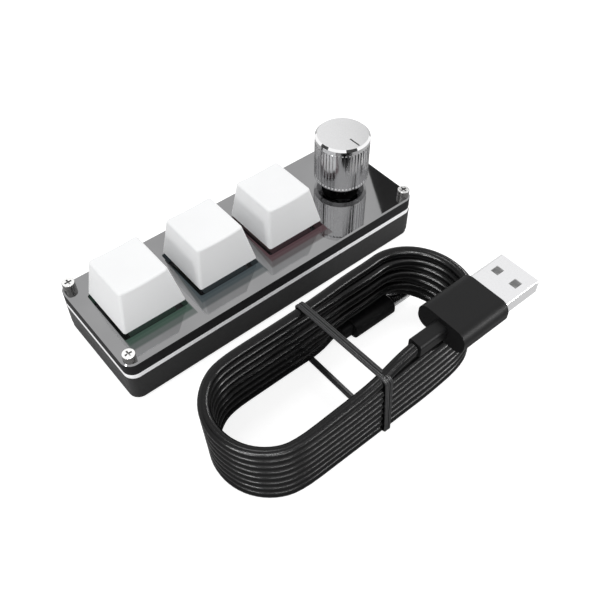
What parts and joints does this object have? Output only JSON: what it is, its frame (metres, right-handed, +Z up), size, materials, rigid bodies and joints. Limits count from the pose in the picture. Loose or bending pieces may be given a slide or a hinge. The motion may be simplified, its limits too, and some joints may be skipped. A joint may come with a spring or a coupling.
{
  "type": "macro keypad with knob",
  "caption": "Small desk keypad: square key switches in a row and a push-and-turn knob on a black slab case, with its detached coiled USB lead.",
  "frame": {"origin": "on the desk, under the middle of the case, without the lead", "axes": "+X along the case from the first key to the knob, +Y to the back of the case where the socket is, +Z up"},
  "size_m": [0.0984, 0.0881, 0.0326],
  "materials": {
    "case": "fine satin moulding",
    "plate": "clean white edge",
    "panel": "polished black",
    "screw": "bright machined",
    "cap": "fine satin white",
    "housing": "moulded black",
    "stem": "moulded",
    "spring": "wire",
    "contact": "plated",
    "lamp": "clear",
    "board": "solder mask",
    "chip": "moulded epoxy",
    "socket": "stamped",
    "encoder_metal": "stamped and turned",
    "shaft": "turned",
    "knob": "spun and bright turned",
    "knob_core": "moulded black",
    "foot": "soft",
    "cord": "satin black jacket",
    "grip": "satin black overmould",
    "plug_metal": "nickel plated",
    "plug_core": "moulded white",
    "tie": "ribbed black"
  },
  "bodies": {
    "case": {"bottom_case": "case", "rubber_feet": "foot", "switch_plate": "plate", "top_panel": "panel", "panel_screws": "screw", "circuit_board": "board", "controller_chip": "chip", "usb_socket": "socket", "usb_socket_tongue": "housing", "encoder_base": "housing", "encoder_cover": "encoder_metal", "encoder_dome": "encoder_metal", "encoder_pins": "contact", "cable_coil": "cord", "cable_lead_a": "cord", "cable_lead_c": "cord", "cable_tie": "tie", "usb_a_grip": "grip", "usb_a_shell": "plug_metal", "usb_a_tongue": "plug_core", "usb_c_grip": "grip", "usb_c_shell": "plug_metal", "switch_bottom_1": "housing", "switch_top_1": "housing", "switch_spring_1": "spring", "switch_pins_1": "contact", "key_lamp_1": "lamp", "switch_bottom_2": "housing", "switch_top_2": "housing", "switch_spring_2": "spring", "switch_pins_2": "contact", "key_lamp_2": "lamp", "switch_bottom_3": "housing", "switch_top_3": "housing", "switch_spring_3": "spring", "switch_pins_3": "contact", "key_lamp_3": "lamp"},
    "key_1": {"switch_stem_1": "stem", "keycap_1": "cap"},
    "key_2": {"switch_stem_2": "stem", "keycap_2": "cap"},
    "key_3": {"switch_stem_3": "stem", "keycap_3": "cap"},
    "encoder_push": {"encoder_plunger": "housing"},
    "knob": {"encoder_shaft": "shaft", "knob_shell": "knob", "knob_insert": "knob_core"}
  },
  "joints": [
    {"name": "key_1_press", "type": "slide", "parent": "case", "child": "key_1", "axis": [0, 0, -1], "range_m": [0, 0.004], "stiffness_N_per_m": 90, "springref_m": -0.0035, "deforming": ["switch_spring_1"]},
    {"name": "key_2_press", "type": "slide", "parent": "case", "child": "key_2", "axis": [0, 0, -1], "range_m": [0, 0.004], "stiffness_N_per_m": 90, "springref_m": -0.0035, "deforming": ["switch_spring_2"]},
    {"name": "key_3_press", "type": "slide", "parent": "case", "child": "key_3", "axis": [0, 0, -1], "range_m": [0, 0.004], "stiffness_N_per_m": 90, "springref_m": -0.0035, "deforming": ["switch_spring_3"]},
    {"name": "knob_push", "type": "slide", "parent": "case", "child": "encoder_push", "axis": [0, 0, -1], "range_m": [0, 0.0005], "stiffness_N_per_m": 3000, "springref_m": -0.001},
    {"name": "knob_turn", "type": "hinge", "parent": "encoder_push", "child": "knob", "pos_m": [0.0366, 0.0011, 0.02], "axis": [0, 0, 1], "continuous": true}
  ]
}
